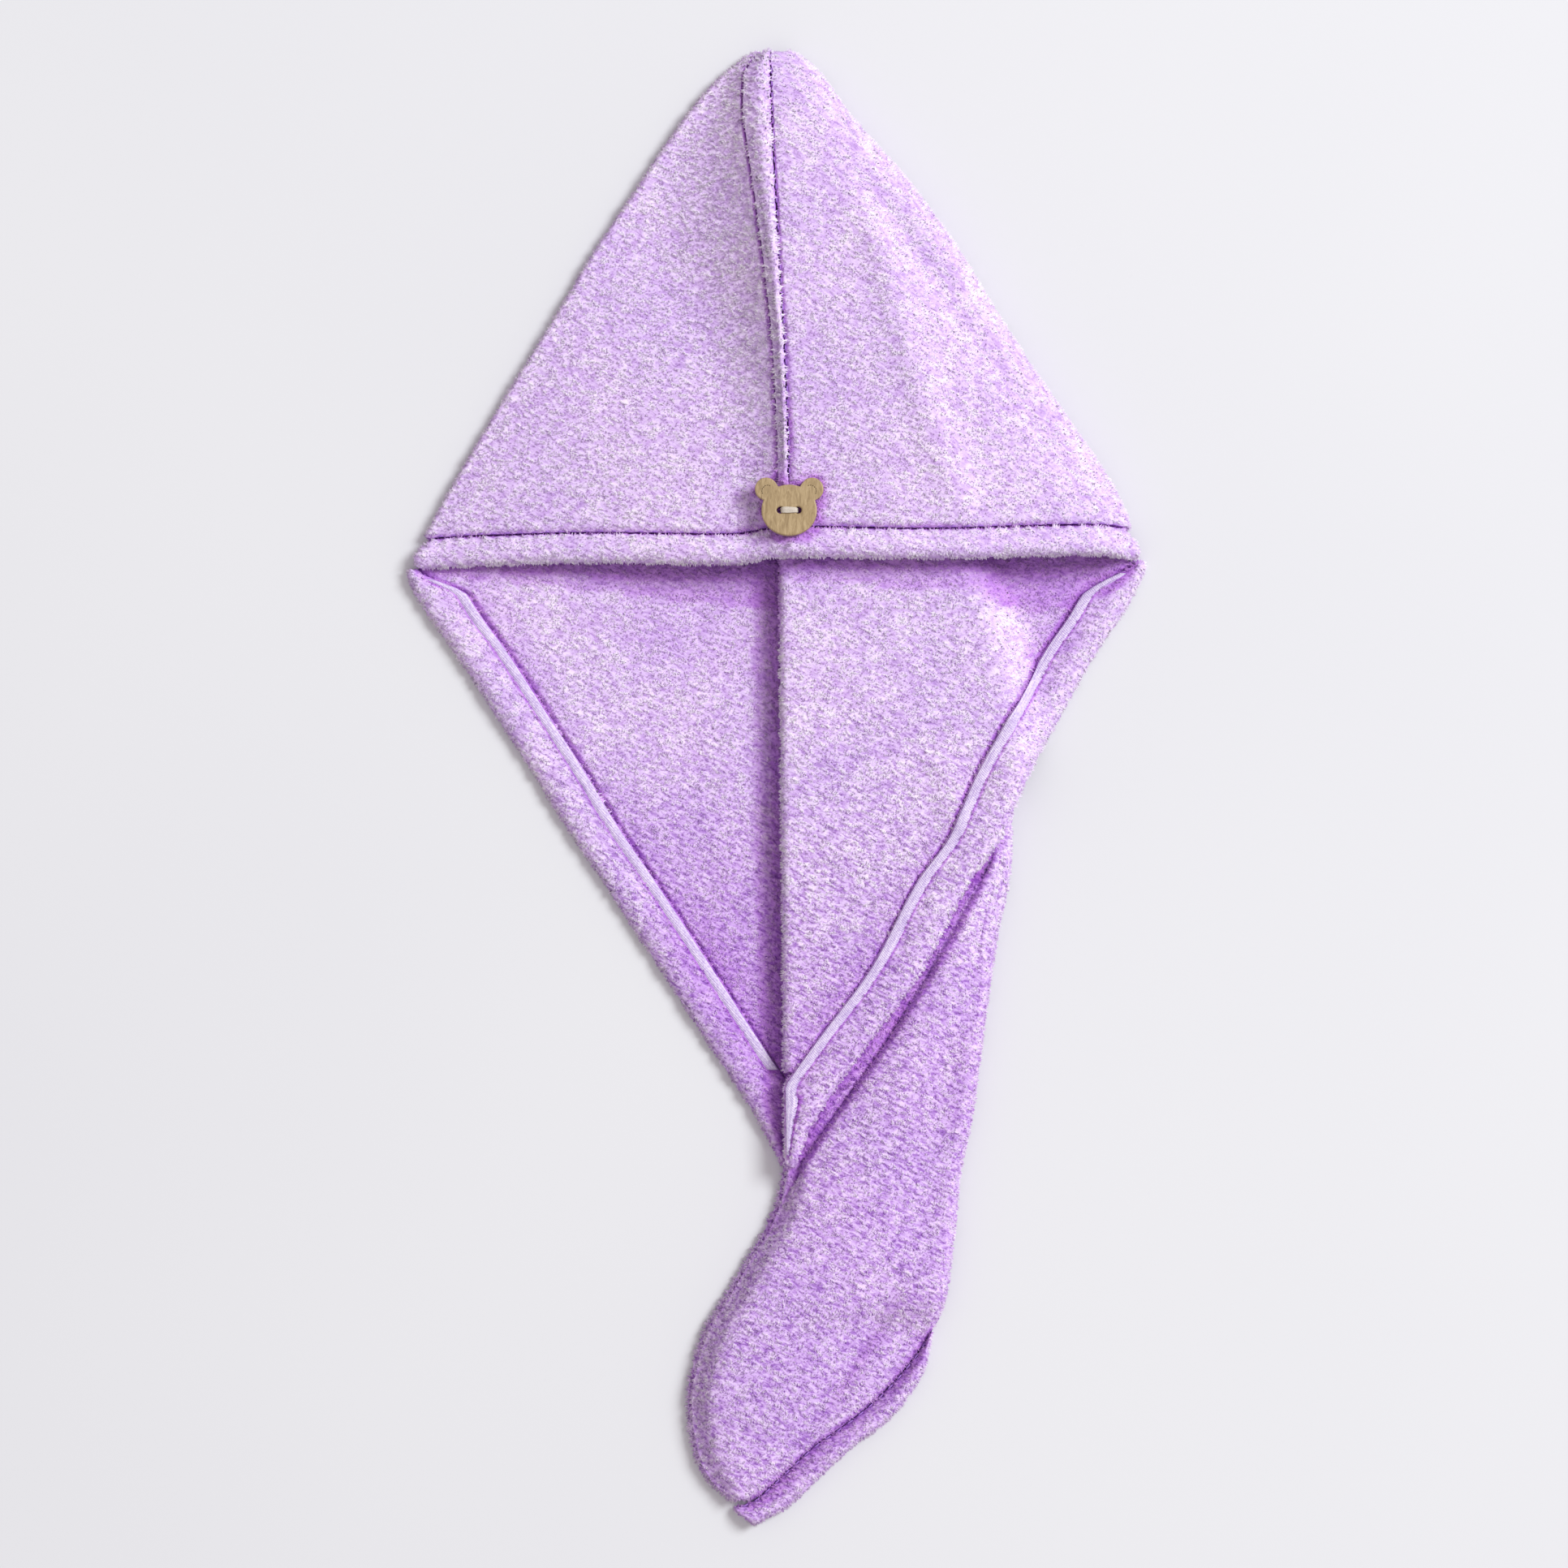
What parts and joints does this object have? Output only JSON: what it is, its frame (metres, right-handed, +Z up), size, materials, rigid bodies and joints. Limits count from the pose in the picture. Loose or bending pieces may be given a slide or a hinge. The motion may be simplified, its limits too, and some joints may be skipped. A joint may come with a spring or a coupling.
{
  "type": "hair turban towel",
  "caption": "Hair turban towel of coral fleece lying flat: pointed hood with a V-shaped mouth and taped hems, bear-head button on the front seam, and a hollow tail to twist.",
  "frame": {"origin": "on the floor under the middle of the towel's overall length and width", "axes": "+X to the right as seen from above with the peak pointing away, +Y towards the peak of the hood, +Z up from the floor, the mouth and button upwards"},
  "size_m": [0.2736, 0.5468, 0.0271],
  "materials": {
    "fleece": "soft lilac coral fleece pile",
    "satin_tape": "pale lilac satin tape",
    "button_resin": "tan, satin, faint grain",
    "thread": "off-white sewing thread"
  },
  "bodies": {
    "root": {"left_panel": "fleece", "right_panel": "fleece", "crown_seam": "fleece", "front_hem": "fleece", "mouth_hem_left": "fleece", "mouth_hem_right": "fleece", "tail_seam": "fleece", "tail_end_hem": "fleece", "hem_tape_left": "satin_tape", "hem_tape_right": "satin_tape", "button": "button_resin", "button_thread": "thread"}
  },
  "joints": []
}
